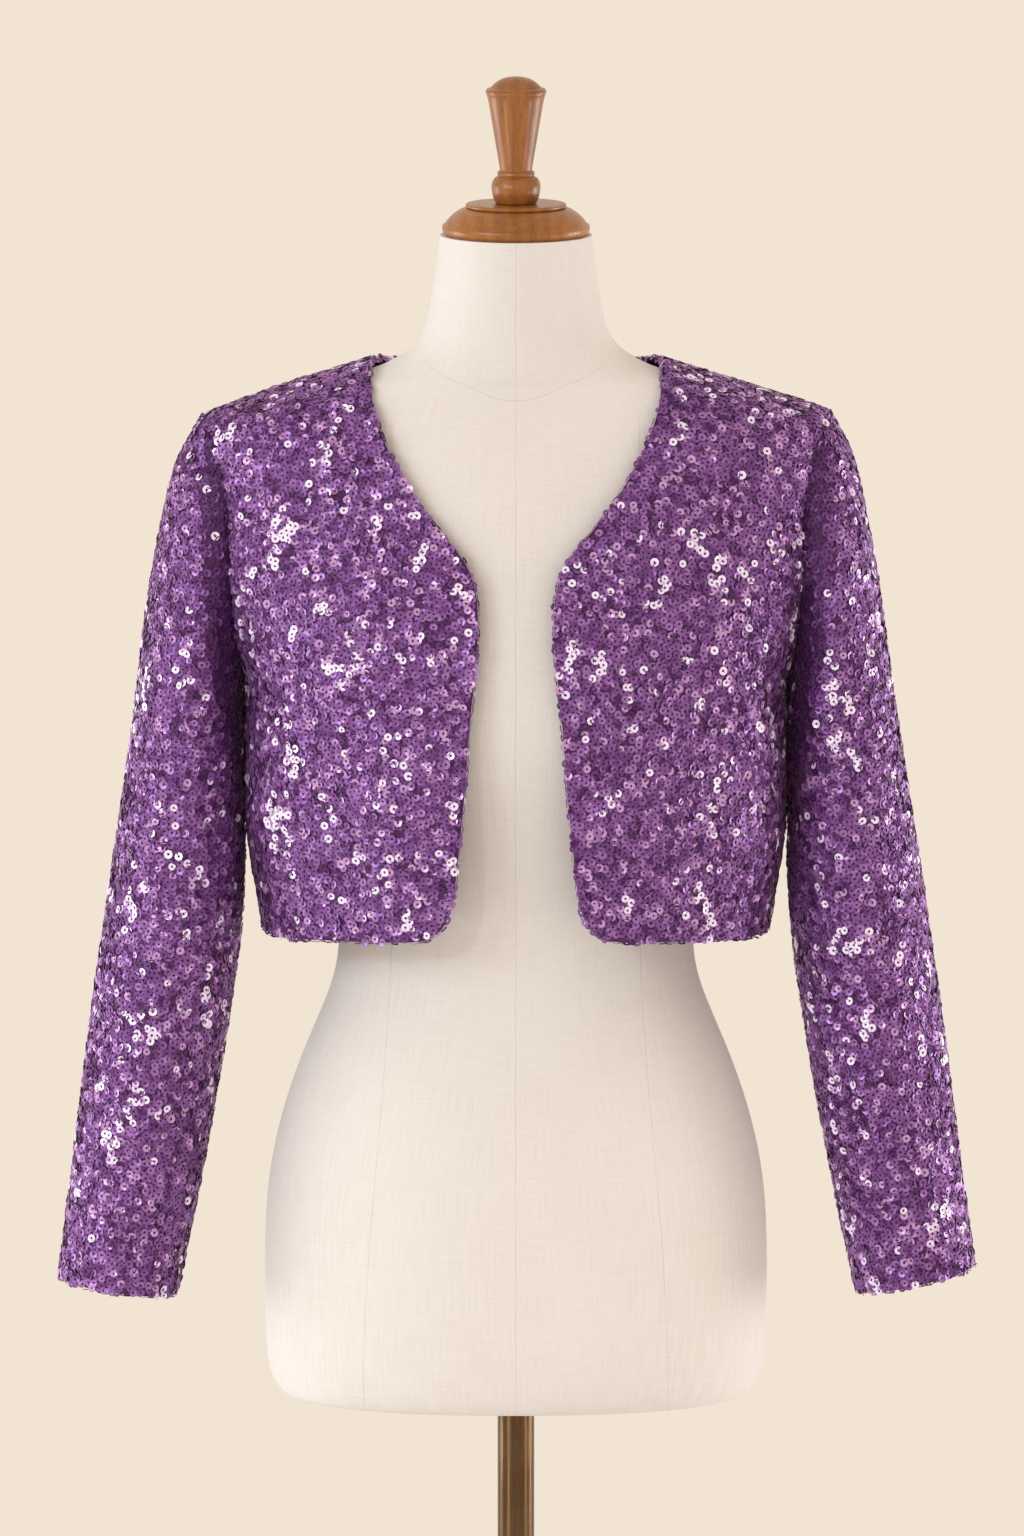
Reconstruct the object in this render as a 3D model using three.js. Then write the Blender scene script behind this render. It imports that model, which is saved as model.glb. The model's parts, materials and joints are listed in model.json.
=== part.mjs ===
// A long-sleeved open-front bolero jacket worn by a covered dress form on a pole stand.
// Millimetres, +Z up. The origin is the centre of the stand's foot, on the floor.
// The front faces -Y, and +X is the wearer's left.
import * as THREE from "three";

// Jacket: cloth and seams
const CLOTH = 2.4; // wall of sequinned net with its backing
const SEAM_GAP = 0.44; // between two pieces that are sewn together
const NECK_POINT_HEIGHT = 1347; // where the shoulder seam meets the neckline
const SHOULDER_POINT_HEIGHT = 1311; // where the shoulder seam meets the sleeve
const UNDERARM_HEIGHT = 1130;
const HEM_HEIGHT = { front: 966, side: 959.5, back: 963 };
const BACK_NECK_HEIGHT = 1331; // the neckline at the middle of the back
const FRONT_CORNER_RADIUS = 16; // lower front corner of each front
const ARMHOLE_DEPTH = { front: 48.5, back: 50 }; // how far the armhole reaches from the side line
const ARMHOLE_FULLNESS = 0.83; // under 1 the armhole is squarer than an ellipse

// Jacket: how finely the panels are divided
const ARMHOLE_STEPS = 14; // along each half of an armhole
const SIDE_STEPS = 7; // from underarm to hem
const FRONT_COLUMNS = 12;
const EDGE_CROWDING = 0.5; // how much closer the columns lie beside the open edge
const BACK_NECK_COLUMNS = 5; // from the middle of the back to the neck point
const SHOULDER_COLUMNS = 7; // along one shoulder seam of the back
const SLEEVE_RINGS = 21; // steps from armhole to cuff

// Dress form and stand
const FORM_SEGMENTS = 44;
const POLE_RADIUS = 12.6;
const SEAT_GAP = 0.3; // between two hard pieces, one seated in or on the other
const SOCKET_TOP = 760; // how far up the pole reaches into the form
const FOOT_RADIUS = 170;
const FOOT_THICKNESS = 10;
const COLLAR_RADIUS = 21;
const COLLAR_TOP = 62;
const POLE_BOTTOM = 6;
const CAP_BOTTOM = 1431.9;
const CAP_TOP = 1453;
const STUD_RADIUS = 5;
const STUD_LENGTH = 12;
const TURNED_SEGMENTS = 36;

// Rings round the dress form. squareness is the exponent of the ring's superellipse.
const FORM_COLUMNS = ["height", "halfWidth", "front", "back", "squareness"];
const FORM_SECTIONS = table(FORM_COLUMNS, [
  [1431.6, 51.6, 51.3, 51.3, 2],
  [1413, 54.1, 52.5, 52.5, 2],
  [1394, 56.6, 53, 53.5, 2],
  [1380, 59.2, 53, 54, 2],
  [1369, 61.2, 53, 54.5, 2],
  [1359, 66.6, 53.5, 55, 2],
  [1352, 74, 54, 55.5, 2.05],
  [1347, 82, 54.5, 56, 2.1],
  [1341, 93.5, 54, 57, 2.15],
  [1337.5, 106, 53, 57.8, 2.2],
  [1334, 125, 51.5, 58.5, 2.2],
  [1330.6, 139.5, 51.8, 59.6, 2.2],
  [1326, 150, 53.5, 61, 2.2],
  [1317, 161, 58, 65, 2.2],
  [1305, 167.5, 64, 71, 2.2],
  [1288, 170.5, 72, 79, 2.2],
  [1264, 168.5, 82, 87, 2.2],
  [1236, 163, 92, 95, 2.2],
  [1205, 156, 101, 101, 2.25],
  [1172, 149.5, 110, 104, 2.3],
  [1140, 146, 116, 106, 2.3],
  [1105, 144.5, 118, 106, 2.3],
  [1072, 141, 113, 104, 2.3],
  [1040, 134.5, 104, 99, 2.25],
  [1008, 127.5, 95.5, 91.5, 2.2],
  [975, 121.5, 88.5, 84, 2.15],
  [944, 120, 85, 80.5, 2.15],
  [917, 125.6, 87, 84, 2.15],
  [880, 142.5, 96, 97, 2.2],
  [842, 156.6, 106, 111, 2.2],
  [806, 166, 114, 121, 2.25],
  [770, 171, 119, 126, 2.3],
  [725, 172, 121, 127, 2.3],
  [683, 171.5, 120.5, 124, 2.3],
  [659, 170, 118.5, 121, 2.3],
  [647, 166, 115, 117, 2.3],
  [639.5, 160, 110, 112, 2.3],
  [635.5, 151, 102, 104, 2.3],
]);
const BUST = { apart: 72, height: 1105, rise: 12, across: 38, along: 46 };

// The jacket's outer surface round the body, by height. At and above the shoulder point the
// half width is the shoulder seam's own line.
const BODY_COLUMNS = ["height", "halfWidth", "front", "back", "squareness"];
const BODY_SECTIONS = table(BODY_COLUMNS, [
  [1347, 99.5, 47, 58, 2.2],
  [1340, 122, 51.5, 62, 2.2],
  [1330, 154, 57, 68, 2.25],
  [1320, 186.5, 61.5, 73.5, 2.3],
  [1311, 212.5, 64.5, 79, 2.35],
  [1302, 216.5, 69.5, 84.5, 2.35],
  [1288, 216.5, 77, 92, 2.4],
  [1251, 211, 93.5, 105, 2.45],
  [1200, 203, 112.5, 113, 2.5],
  [1160, 194, 123.5, 115.5, 2.5],
  [1130, 183.8, 129.5, 116.5, 2.5],
  [1110, 182.9, 131.5, 116.5, 2.5],
  [1090, 183.2, 132, 116.5, 2.5],
  [1060, 183.4, 131, 115.5, 2.5],
  [1030, 183, 129.5, 114, 2.5],
  [1010, 180.4, 128, 113, 2.5],
  [985, 175.7, 126, 111.5, 2.5],
  [966, 172.8, 125, 110.5, 2.6],
  [958, 171.7, 124.5, 110, 2.6],
]);

// Free edge of each front: how far it lies from the middle line, by height.
const FRONT_EDGE = table(["height", "fromMiddle"], [
  [1347, 99.5],
  [1330, 98.8],
  [1318, 96.3],
  [1306, 92.4],
  [1294, 87],
  [1282, 80.7],
  [1270, 73.4],
  [1257, 64.3],
  [1244, 54.2],
  [1231, 41.8],
  [1218, 31.4],
  [1205, 26.6],
  [1190, 25.6],
  [1160, 26.6],
  [1120, 31],
  [1060, 35.4],
  [1010, 40.6],
  [982, 43.4],
]);

// Sleeve rings. Each ring's outer point lies over the arm, its inner point under it.
const SLEEVE_COLUMNS = ["outerX", "outerZ", "innerX", "innerZ", "halfDepth", "middleY"];
const SLEEVE_SECTIONS = table(SLEEVE_COLUMNS, [
  [212.5, 1311, 183.8, 1130, 50.25, 0.75],
  [226, 1295, 185.2, 1126.5, 54.25, 0.75],
  [234.5, 1265, 185.6, 1121.5, 58, 1],
  [241.5, 1232, 185.4, 1115, 60.75, 1.25],
  [247.2, 1200, 185, 1106.5, 62, 0.5],
  [252.2, 1166, 184.9, 1096, 62.5, 0.5],
  [255.8, 1132, 185, 1082, 61.25, -0.25],
  [259.5, 1100, 185.1, 1066, 59.5, -1],
  [264.5, 1062, 185.1, 1044, 57.5, -2],
  [271, 1018, 184, 1008, 55, -4],
  [279, 962, 187, 953, 52.5, -6],
  [287.2, 904, 195.2, 895, 50.5, -8],
  [294.4, 845, 204.6, 836, 48.5, -10],
  [301, 788, 215.2, 779, 45.5, -13],
  [306.4, 747.5, 223.8, 736.5, 42.5, -15],
  [310, 721.5, 229.6, 708.5, 40.5, -17],
]);
const ARMHOLE_FADE = 5; // sections over which the armhole's shape turns into an oval
const SLEEVE_SWING = { left: 2.2, right: 1.6 }; // how far each cuff hangs out from the table
const CUFF_LIFT = { left: 6.5, right: -1.5 }; // how much shorter each sleeve is over the arm
const UPPER_ARM_EASE = { left: -2.6, right: 0 }; // extra width over the upper arm
const SHOULDER_DROP = { left: 0, right: 3 }; // how much lower each shoulder sits

// Soft folds. Positive rise stands out of the cloth. On the body x is from the middle line,
// on a sleeve angle is round the ring, from over the arm towards the front.
const FOLD_COLUMNS = ["side", "face", "topX", "topZ", "bottomX", "bottomZ", "width", "rise"];
const BODY_FOLDS = table(FOLD_COLUMNS, [
  ["left", "front", 150, 1185, 158, 985, 15, 4.5],
  ["left", "front", 122, 1130, 118, 960, 18, -3],
  ["left", "front", 78, 1105, 84, 950, 20, 2.5],
  ["left", "front", 190, 1290, 176, 1200, 10, 4],
  ["left", "front", 140, 1270, 120, 1205, 16, -3],
  ["right", "front", 152, 1170, 160, 985, 16, 3.5],
  ["right", "front", 124, 1120, 126, 960, 18, -3.5],
  ["right", "front", 74, 1110, 88, 950, 20, 3],
  ["right", "front", 192, 1290, 178, 1190, 10, 4],
  ["right", "front", 146, 1262, 112, 1190, 16, -3],
  ["left", "back", 88, 1190, 96, 950, 24, 4],
  ["right", "back", 92, 1200, 90, 950, 24, 4],
  ["left", "back", 140, 1160, 146, 960, 20, -3],
  ["right", "back", 138, 1170, 142, 960, 20, -3],
  ["left", "back", 184, 1290, 176, 1200, 12, 4],
  ["right", "back", 184, 1290, 174, 1190, 12, 4],
]);
const SLEEVE_FOLD_COLUMNS = ["side", "topAngle", "topZ", "bottomAngle", "bottomZ", "spread", "rise"];
const SLEEVE_FOLDS = table(SLEEVE_FOLD_COLUMNS, [
  ["left", 62, 1250, 84, 1060, 17, -4],
  ["right", 62, 1250, 84, 1050, 17, -4],
  ["left", 296, 1250, 278, 1070, 17, -4],
  ["right", 296, 1250, 276, 1060, 17, -4],
  ["left", 118, 1085, 40, 1000, 16, -3],
  ["right", 120, 1075, 46, 985, 16, -3],
  ["left", 150, 960, 95, 900, 18, -3],
  ["right", 155, 975, 100, 915, 18, -3],
  ["left", 96, 985, 84, 760, 20, 2.5],
  ["right", 98, 970, 86, 750, 20, 2.5],
  ["left", 230, 940, 290, 860, 18, -3],
  ["right", 235, 950, 285, 870, 18, -3],
]);

// Turned wood and metal: radius and height of each point of the profile, from the top down.
const FINIAL_PROFILE = [
  [0, 86.3],
  [6, 85.8],
  [11.5, 83.9],
  [15.6, 80.8],
  [17.2, 78.7],
  [19.8, 77.9],
  [20.8, 76.2],
  [20.4, 74.1],
  [19.4, 72.7],
  [17.2, 60],
  [14.1, 41.2],
  [11.2, 25],
  [11, 22.4],
  [12.5, 21.4],
  [12.8, 19.8],
  [12.3, 18.6],
  [15, 16.9],
  [16.7, 13.6],
  [16.9, 10],
  [16, 5],
  [14.4, 0.8],
  [13.6, 0],
];
const CAP_PROFILE = [
  [33.4, 21.1],
  [34.3, 20.5],
  [34.3, 19.2],
  [33.2, 18.5],
  [36.6, 17.8],
  [41, 15.4],
  [45.2, 11.8],
  [47.8, 8.6],
  [48.6, 7.3],
  [50, 6.6],
  [50.6, 4.9],
  [50.2, 2.2],
  [48.6, 0],
];
const FOOT_PROFILE = [
  [COLLAR_RADIUS - 1.5, COLLAR_TOP],
  [COLLAR_RADIUS, COLLAR_TOP - 1.5],
  [COLLAR_RADIUS, 24],
  [24, 19],
  [34, 15.5],
  [FOOT_RADIUS - 8, FOOT_THICKNESS],
  [FOOT_RADIUS - 2, FOOT_THICKNESS - 2],
  [FOOT_RADIUS, FOOT_THICKNESS - 5],
  [FOOT_RADIUS, 1.5],
  [FOOT_RADIUS - 1.5, 0],
  [0, 0],
];

const COLOURS = {
  sequinCloth: { color: 0x77457f, roughness: 0.45, metalness: 0.3 },
  linen: { color: 0xe9dccf, roughness: 0.9, metalness: 0 },
  wood: { color: 0x8f5a30, roughness: 0.35, metalness: 0 },
  bronze: { color: 0x6b5034, roughness: 0.35, metalness: 0.8 },
};

// A list of rows as objects, one property for each column name.
function table(columns, rows) {
  return rows.map((row) => Object.fromEntries(columns.map((name, i) => [name, row[i]])));
}

const mix = (a, b, share) => a + (b - a) * share;
const clamp = (value, low, high) => Math.min(high, Math.max(low, value));
const radians = (degrees) => (degrees * Math.PI) / 180;

function smoothStep(value) {
  const t = clamp(value, 0, 1);
  return t * t * (3 - 2 * t);
}

// A smooth curve through a table's column that never swings past its points.
// The key column may run up or down.
function smoothColumn(rows, key, column) {
  const points = rows
    .map((row) => [row[key], row[column]])
    .sort((a, b) => a[0] - b[0]);
  const steps = points.slice(1).map((p, i) => (p[1] - points[i][1]) / (p[0] - points[i][0]));
  const slopes = points.map((_, i) => {
    if (i === 0) return steps[0];
    if (i === steps.length) return steps[i - 1];
    const [before, after] = [steps[i - 1], steps[i]];
    return before * after <= 0 ? 0 : (2 * before * after) / (before + after);
  });
  return (at) => {
    const value = clamp(at, points[0][0], points.at(-1)[0]);
    const i = clamp(points.findIndex((p) => p[0] >= value) - 1, 0, steps.length - 1);
    const width = points[i + 1][0] - points[i][0];
    const t = (value - points[i][0]) / width;
    const [rise, back] = [t * t * (3 - 2 * t), t * (1 - t)];
    return (
      mix(points[i][1], points[i + 1][1], rise) +
      width * back * ((1 - t) * slopes[i] - t * slopes[i + 1])
    );
  };
}

// Picks points along a curve so that they are evenly far apart. curve(share) gives a Vector3.
function evenShares(curve, count) {
  const FINE = 240;
  const along = [0];
  let last = curve(0);
  for (let i = 1; i <= FINE; i++) {
    const next = curve(i / FINE);
    along.push(along[i - 1] + next.distanceTo(last));
    last = next;
  }
  return Array.from({ length: count + 1 }, (_, k) => {
    const target = (along[FINE] * k) / count;
    const i = clamp(along.findIndex((length) => length >= target), 1, FINE);
    return (i - 1 + (target - along[i - 1]) / (along[i] - along[i - 1])) / FINE;
  });
}

// The body of the jacket as a surface

const bodyAt = Object.fromEntries(
  BODY_COLUMNS.slice(1).map((name) => [name, smoothColumn(BODY_SECTIONS, "height", name)]),
);
const frontEdgeAt = smoothColumn(FRONT_EDGE, "height", "fromMiddle");

// How far the surface lies before or behind the side line, at x from the middle.
function bodyDepth(face, x, height) {
  const power = bodyAt.squareness(height);
  const across = clamp(x / bodyAt.halfWidth(height), 0, 1);
  return bodyAt[face](height) * (1 - across ** power) ** (1 / power);
}

// How far from the middle the surface lies where it is this deep.
function bodyReach(face, depth, height) {
  const power = bodyAt.squareness(height);
  const share = clamp(depth / bodyAt[face](height), 0, 1);
  return bodyAt.halfWidth(height) * (1 - share ** power) ** (1 / power);
}

function bodyPoint(face, x, height) {
  const depth = bodyDepth(face, x, height);
  return new THREE.Vector3(x, face === "front" ? -depth : depth, height);
}

// The armhole at an angle of 0 at the shoulder point to PI at the underarm.
function armholePoint(face, angle) {
  const middle = (SHOULDER_POINT_HEIGHT + UNDERARM_HEIGHT) / 2;
  const half = (SHOULDER_POINT_HEIGHT - UNDERARM_HEIGHT) / 2;
  const height = middle + half * Math.cos(angle);
  const depth = ARMHOLE_DEPTH[face] * Math.max(0, Math.sin(angle)) ** ARMHOLE_FULLNESS;
  const x = bodyReach(face, depth, height);
  return new THREE.Vector3(x, face === "front" ? -depth : depth, height);
}

// Outer border of a panel: down the armhole, then down the side seam.
function outerBorder(face) {
  const rows = [];
  for (let k = 0; k <= ARMHOLE_STEPS; k++) {
    rows.push(armholePoint(face, (Math.PI * k) / ARMHOLE_STEPS));
  }
  for (let k = 1; k <= SIDE_STEPS; k++) {
    const height = mix(UNDERARM_HEIGHT, HEM_HEIGHT.side, k / SIDE_STEPS);
    rows.push(new THREE.Vector3(bodyAt.halfWidth(height), 0, height));
  }
  return rows;
}

// Inner border of a front: down the neckline, then down the open edge to the rounded corner.
function frontInnerBorder() {
  const lowest = HEM_HEIGHT.front + FRONT_CORNER_RADIUS;
  const turn = mix(NECK_POINT_HEIGHT, lowest, 0.56);
  const stretch = (from, to) => (share) => {
    const height = mix(from, to, share);
    return bodyPoint("front", frontEdgeAt(height), height);
  };
  const upper = stretch(NECK_POINT_HEIGHT, turn);
  const lower = stretch(turn, lowest);
  return [
    ...evenShares(upper, ARMHOLE_STEPS).map(upper),
    ...evenShares(lower, SIDE_STEPS).slice(1).map(lower),
  ];
}

// Top border of half a back: the neckline from the middle, then the shoulder seam.
function backTopBorder() {
  const neckline = (share) => {
    const x = bodyAt.halfWidth(NECK_POINT_HEIGHT) * Math.sin((share * Math.PI) / 2);
    const rise = (x / bodyAt.halfWidth(NECK_POINT_HEIGHT)) ** 2;
    return bodyPoint("back", x, mix(BACK_NECK_HEIGHT, NECK_POINT_HEIGHT, rise));
  };
  const shoulder = (share) => {
    const height = mix(NECK_POINT_HEIGHT, SHOULDER_POINT_HEIGHT, share);
    return new THREE.Vector3(bodyAt.halfWidth(height), 0, height);
  };
  return [
    ...evenShares(neckline, BACK_NECK_COLUMNS).map(neckline),
    ...evenShares(shoulder, SHOULDER_COLUMNS).slice(1).map(shoulder),
  ];
}

function frontTopBorder() {
  const seam = (share) => {
    const height = mix(NECK_POINT_HEIGHT, SHOULDER_POINT_HEIGHT, share);
    return new THREE.Vector3(bodyAt.halfWidth(height), 0, height);
  };
  return evenShares(seam, FRONT_COLUMNS).map(seam);
}

// The hem's height at x: lowest at the side seam, and rising round the lower front corner.
function hemHeight(face, x) {
  const across = clamp(x / bodyAt.halfWidth(HEM_HEIGHT.side), 0, 1);
  const level = mix(HEM_HEIGHT[face], HEM_HEIGHT.side, across ** 2);
  const inset = x - frontEdgeAt(HEM_HEIGHT.front);
  if (face === "back" || inset >= FRONT_CORNER_RADIUS) return level;
  const reach = FRONT_CORNER_RADIUS - Math.max(0, inset);
  return level + FRONT_CORNER_RADIUS - Math.sqrt(FRONT_CORNER_RADIUS ** 2 - reach ** 2);
}

// Half a body panel as rows of points, on the wearer's left, before its folds.
function panelGrid(face) {
  const outer = outerBorder(face);
  const lastRow = outer.length - 1;
  const topHeight = face === "front" ? NECK_POINT_HEIGHT : BACK_NECK_HEIGHT;
  const shareDown = outer.map(
    (p) => (SHOULDER_POINT_HEIGHT - p.z) / (SHOULDER_POINT_HEIGHT - HEM_HEIGHT.side),
  );
  const inner =
    face === "front"
      ? frontInnerBorder()
      : shareDown.map((share) => bodyPoint("back", 0, mix(topHeight, HEM_HEIGHT.back, share)));
  const top = face === "front" ? frontTopBorder() : backTopBorder();
  const lastColumn = top.length - 1;

  // Share of the way across: even in x at the shoulder, even round the ring lower down.
  const across = (row, column) => {
    const [from, to] = [inner[row].x, outer[row].x];
    const atTop = (top[column].x - top[0].x) / (top[lastColumn].x - top[0].x);
    const half = bodyAt.halfWidth(outer[row].z);
    const power = 2 / bodyAt.squareness(outer[row].z);
    const angleOf = (x) => Math.asin(clamp(x / half, 0, 1) ** (1 / power));
    const even = column / lastColumn;
    const drawn = face === "front" ? even * (1 - EDGE_CROWDING * (1 - even) ** 2) : even;
    const angle = mix(angleOf(from), angleOf(to), drawn);
    const round = (half * Math.sin(angle) ** power - from) / (to - from);
    return row === 0 ? atTop : mix(atTop, round, smoothStep(row / (ARMHOLE_STEPS * 0.8)));
  };
  const hemShift = (column) => {
    const share = across(lastRow, column);
    const x = mix(inner[lastRow].x, outer[lastRow].x, share);
    return hemHeight(face, x) - mix(inner[lastRow].z, outer[lastRow].z, share);
  };

  return outer.map((outerPoint, row) =>
    top.map((topPoint, column) => {
      if (row === 0) return topPoint.clone();
      if (column === lastColumn) return outerPoint.clone();
      if (column === 0 && row < lastRow) return inner[row].clone();
      const share = across(row, column);
      const x = mix(inner[row].x, outerPoint.x, share);
      const topShare = across(0, column);
      const topShift = topPoint.z - mix(top[0].z, top[lastColumn].z, topShare);
      const height =
        mix(inner[row].z, outerPoint.z, share) +
        topShift * (1 - shareDown[row]) +
        hemShift(column) * shareDown[row];
      return bodyPoint(face, x, height);
    }),
  );
}

// The sleeve as a surface

const sleeveAt = Object.fromEntries(
  SLEEVE_COLUMNS.map((name) => [
    name,
    smoothColumn(SLEEVE_SECTIONS.map((row, i) => ({ ...row, i })), "i", name),
  ]),
);

// An oval ring at a place along the table of sections, on the wearer's left.
function sleeveOval(place, angle, side) {
  const swing = SLEEVE_SWING[side] * smoothStep((place - 5) / 10);
  const ease = UPPER_ARM_EASE[side] * Math.sin(Math.PI * clamp(place / 8, 0, 1));
  const lift = CUFF_LIFT[side] * smoothStep((place - 10) / 5);
  const outerX = sleeveAt.outerX(place) + swing + ease;
  const outer = new THREE.Vector3(outerX, 0, sleeveAt.outerZ(place) + lift);
  const innerX = sleeveAt.innerX(place) + swing;
  const inner = new THREE.Vector3(innerX, 0, sleeveAt.innerZ(place) + lift / 4);
  const centre = outer.clone().add(inner).multiplyScalar(0.5);
  const reach = outer.clone().sub(centre);
  const point = centre.addScaledVector(reach, Math.cos(angle));
  point.y = sleeveAt.middleY(place) - sleeveAt.halfDepth(place) * Math.sin(angle);
  return point;
}

function armholeLoop(angle) {
  return angle <= Math.PI
    ? armholePoint("front", angle)
    : armholePoint("back", 2 * Math.PI - angle);
}

// Rings from the armhole to the cuff, angle 0 over the arm and then towards the front.
function sleeveGrid(side) {
  const around = 2 * ARMHOLE_STEPS;
  const lastSection = SLEEVE_SECTIONS.length - 1;
  const spine = (share) => {
    const place = share * lastSection;
    const over = sleeveOval(place, 0, side);
    return over.lerp(sleeveOval(place, Math.PI / 2, side), 0.35);
  };
  return evenShares(spine, SLEEVE_RINGS).map((share) => {
    const place = share * lastSection;
    const keep = clamp(1 - place / ARMHOLE_FADE, 0, 1) ** 2;
    return Array.from({ length: around }, (_, i) => {
      const angle = (2 * Math.PI * i) / around;
      const point = sleeveOval(place, angle, side);
      const carried = armholeLoop(angle).sub(sleeveOval(0, angle, side));
      return point.addScaledVector(carried, keep);
    });
  });
}

// Folds

// How much a fold that runs from top to bottom lifts the cloth at a place.
function foldLift(fold, across, height, width) {
  const down = (fold.topZ - height) / (fold.topZ - fold.bottomZ);
  const middle = fold.topX + (fold.bottomX - fold.topX) * down;
  const ends = smoothStep((down + 0.15) / 0.4) * smoothStep((1.15 - down) / 0.3);
  return fold.rise * ends * Math.exp(-(((across - middle) / width) ** 2));
}

function foldBody(grid, normals, face, side) {
  const folds = BODY_FOLDS.filter((fold) => fold.face === face && fold.side === side);
  const last = grid[0].length - 1;
  grid.forEach((row, r) =>
    row.forEach((point, c) => {
      const clear = (1 - (c / last) ** 5) * smoothStep(r / 5);
      const lift = folds.reduce(
        (sum, fold) => sum + foldLift(fold, point.x, point.z, fold.width),
        0,
      );
      point.addScaledVector(normals[r][c], lift * clear);
    }),
  );
}

function foldSleeve(grid, normals, side) {
  const folds = SLEEVE_FOLDS.filter((fold) => fold.side === side);
  grid.forEach((ring, r) =>
    ring.forEach((point, i) => {
      const angle = (360 * i) / ring.length;
      const underArm = smoothStep((Math.abs(angle - 180) - 20) / 25);
      const low = smoothStep((r - 1) / 4) * smoothStep((grid.length - 1 - r) / 2);
      const guard = point.z > HEM_HEIGHT.side ? underArm : 1;
      const lift = folds.reduce((sum, fold) => {
        const named = { ...fold, topX: fold.topAngle, bottomX: fold.bottomAngle };
        return sum + foldLift(named, angle, point.z, fold.spread);
      }, 0);
      point.addScaledVector(normals[r][i], lift * low * guard);
    }),
  );
}

// Walls of cloth

// The outward normal at each point of a grid. A closed grid's rows are rings.
function gridNormals(grid, closed) {
  const [rows, columns] = [grid.length, grid[0].length];
  const column = (c) => (closed ? (c + columns) % columns : clamp(c, 0, columns - 1));
  return grid.map((row, r) =>
    row.map((_, c) => {
      const down = grid[Math.min(r + 1, rows - 1)][c]
        .clone()
        .sub(grid[Math.max(r - 1, 0)][c]);
      const over = grid[r][column(c + 1)].clone().sub(grid[r][column(c - 1)]);
      return down.cross(over).normalize();
    }),
  );
}

const negate = (vectors) => vectors.map((row) => row.map((v) => v.negate()));

// A closed wall between an outer grid and the same grid moved in by the cloth's thickness.
// mirrored makes the wearer's right piece, reversed is for a grid that runs the other way round.
function wallGeometry(outer, normals, { closed = false, mirrored = false, reversed = false }) {
  const [rows, columns] = [outer.length, outer[0].length];
  const positions = [];
  const put = (p) => positions.push(mirrored ? -p.x : p.x, p.y, p.z);
  outer.forEach((row) => row.forEach(put));
  outer.forEach((row, r) =>
    row.forEach((p, c) => put(p.clone().addScaledVector(normals[r][c], -CLOTH))),
  );
  const at = (layer, r, c) => layer * rows * columns + r * columns + (c % columns);
  const faces = [];
  const quad = (a, b, c, d) => faces.push(a, b, c, a, c, d);
  const lastColumn = closed ? columns : columns - 1;
  for (let r = 0; r < rows - 1; r++) {
    for (let c = 0; c < lastColumn; c++) {
      quad(at(0, r, c), at(0, r + 1, c), at(0, r + 1, c + 1), at(0, r, c + 1));
      quad(at(1, r, c), at(1, r, c + 1), at(1, r + 1, c + 1), at(1, r + 1, c));
    }
  }
  const rim = (r0, c0, r1, c1) => quad(at(0, r0, c0), at(0, r1, c1), at(1, r1, c1), at(1, r0, c0));
  for (let c = 0; c < lastColumn; c++) {
    rim(0, c, 0, c + 1);
    rim(rows - 1, c + 1, rows - 1, c);
  }
  if (!closed) {
    for (let r = 0; r < rows - 1; r++) {
      rim(r + 1, 0, r, 0);
      rim(r, columns - 1, r + 1, columns - 1);
    }
  }
  if (mirrored !== reversed) {
    for (let i = 0; i < faces.length; i += 3) {
      [faces[i + 1], faces[i + 2]] = [faces[i + 2], faces[i + 1]];
    }
  }
  const geometry = new THREE.BufferGeometry();
  geometry.setAttribute("position", new THREE.Float32BufferAttribute(positions, 3));
  geometry.setIndex(faces);
  return geometry;
}

// Moves the points of a seam apart, towards their own neighbour in the piece.
function openSeam(points, neighbours) {
  points.forEach((point, i) => {
    const away = neighbours[i].clone().sub(point).normalize();
    point.addScaledVector(away, SEAM_GAP / 2);
  });
}

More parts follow.
